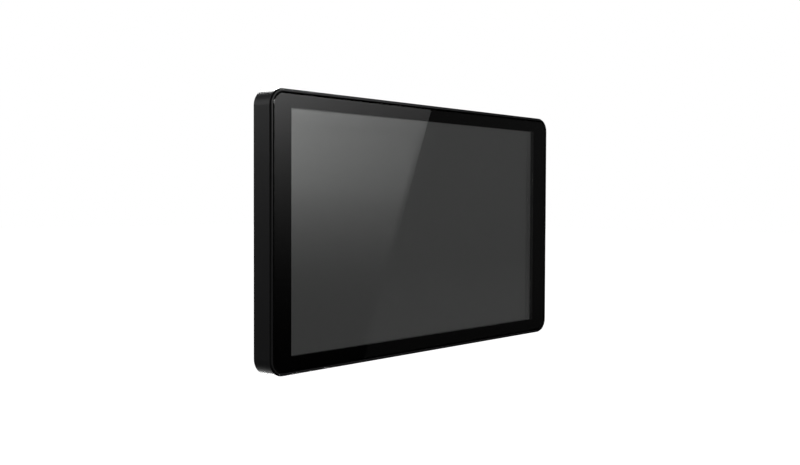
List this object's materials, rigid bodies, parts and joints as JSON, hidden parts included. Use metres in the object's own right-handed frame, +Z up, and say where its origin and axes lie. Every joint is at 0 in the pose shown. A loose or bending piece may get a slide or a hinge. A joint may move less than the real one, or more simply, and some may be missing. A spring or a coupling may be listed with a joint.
{
  "type": "touch screen kiosk display",
  "caption": "Flat black touch screen terminal with edge-to-edge cover glass, rounded housing, screwed rear electronics box, sockets, power switch and wall-mount threads.",
  "frame": {"origin": "centre of the four mounting threads, on the flat rear face of the electronics box", "axes": "+X to the viewer's right along the width, +Y out of the back, so the screen faces -Y, +Z up"},
  "size_m": [0.5404, 0.049, 0.307],
  "materials": {
    "black_paint": "fine satin powder coat on aluminium",
    "bezel_paint": "satin powder coat on aluminium",
    "cover_glass": "polished toughened glass",
    "print_black": "black ceramic print on the back of the glass",
    "sensor_film": "clear coated glass",
    "screen_dark": "anti-glare polariser on an unlit liquid crystal cell",
    "black_foam": "matt closed-cell foam and sealant",
    "bare_steel": "zinc-plated sheet steel",
    "black_steel": "black zinc plating",
    "aluminium": "bare pressed aluminium",
    "black_aluminium": "black anodised aluminium",
    "moulded_black": "fine-textured moulded plastic",
    "white_sheet": "white film",
    "clear_acrylic": "clear acrylic",
    "board_green": "green solder mask",
    "board_blue": "blue solder mask",
    "polyimide": "amber polyimide film",
    "chip_black": "epoxy chip package",
    "pad_grey": "soft silicone pad",
    "plug_cream": "natural nylon",
    "nickel": "nickel plating",
    "brass": "turned brass",
    "lead_red": "red insulated wire",
    "lead_black": "black insulated wire",
    "ribbon_grey": "flat ribbon cable",
    "cone_black": "pressed paper and rubber",
    "ferrite": "ferrite and steel"
  },
  "bodies": {
    "display": {"cover_glass": "cover_glass", "glass_sealant": "black_foam", "glass_tape": "black_foam", "front_bezel": "bezel_paint", "touch_sensor": "sensor_film", "touch_tail": "polyimide", "panel_gasket": "black_foam", "panel_front_frame": "black_steel", "lcd_cell": "screen_dark", "panel_mid_frame": "moulded_black", "optical_films": "white_sheet", "light_guide": "clear_acrylic", "reflector_sheet": "white_sheet", "led_strip": "aluminium", "panel_back_tray": "aluminium", "panel_board": "board_green", "panel_brackets": "bare_steel", "bracket_screws": "black_steel", "housing": "black_paint", "bezel_screws": "black_steel", "mount_spacers": "bare_steel", "rear_cover": "black_paint", "cover_screws": "black_steel", "main_board": "board_green", "board_standoffs": "brass", "board_screws": "nickel", "processor": "chip_black", "thermal_pad": "pad_grey", "heat_sink": "black_aluminium", "memory_chips": "chip_black", "board_capacitors": "aluminium", "clock_battery": "nickel", "board_connectors": "plug_cream", "hdmi_socket": "nickel", "usb_sockets": "nickel", "lan_socket": "nickel", "audio_socket": "moulded_black", "power_socket": "moulded_black", "power_socket_nut": "nickel", "switch_body": "moulded_black", "switch_terminals": "brass", "power_leads": "lead_red", "backlight_board": "board_green", "touch_board": "board_blue", "panel_cable": "ribbon_grey", "speaker_boxes": "moulded_black", "speaker_cones": "cone_black", "speaker_magnets": "ferrite", "signal_leads": "lead_black", "antenna": "moulded_black", "antenna_lead": "lead_black", "button_board": "board_green", "button_bracket": "bare_steel", "tact_switches": "chip_black"},
    "power_rocker": {"switch_rocker": "moulded_black"},
    "power_button": {"button_power": "moulded_black"},
    "source_button": {"button_source": "moulded_black"},
    "menu_button": {"button_menu": "moulded_black"},
    "down_button": {"button_down": "moulded_black"},
    "up_button": {"button_up": "moulded_black"}
  },
  "joints": [
    {"name": "rocker_tilt", "type": "hinge", "parent": "display", "child": "power_rocker", "pos_m": [-0.034, -0.0116, -0.0976], "axis": [0, 1, 0], "range_deg": [-20, 0]},
    {"name": "power_press", "type": "slide", "parent": "display", "child": "power_button", "axis": [0, 0, 1], "range_m": [0, 0.0008], "stiffness_N_per_m": 400, "springref_m": -0.001},
    {"name": "source_press", "type": "slide", "parent": "display", "child": "source_button", "axis": [0, 0, 1], "range_m": [0, 0.0008], "stiffness_N_per_m": 400, "springref_m": -0.001},
    {"name": "menu_press", "type": "slide", "parent": "display", "child": "menu_button", "axis": [0, 0, 1], "range_m": [0, 0.0008], "stiffness_N_per_m": 400, "springref_m": -0.001},
    {"name": "down_press", "type": "slide", "parent": "display", "child": "down_button", "axis": [0, 0, 1], "range_m": [0, 0.0008], "stiffness_N_per_m": 400, "springref_m": -0.001},
    {"name": "up_press", "type": "slide", "parent": "display", "child": "up_button", "axis": [0, 0, 1], "range_m": [0, 0.0008], "stiffness_N_per_m": 400, "springref_m": -0.001}
  ]
}
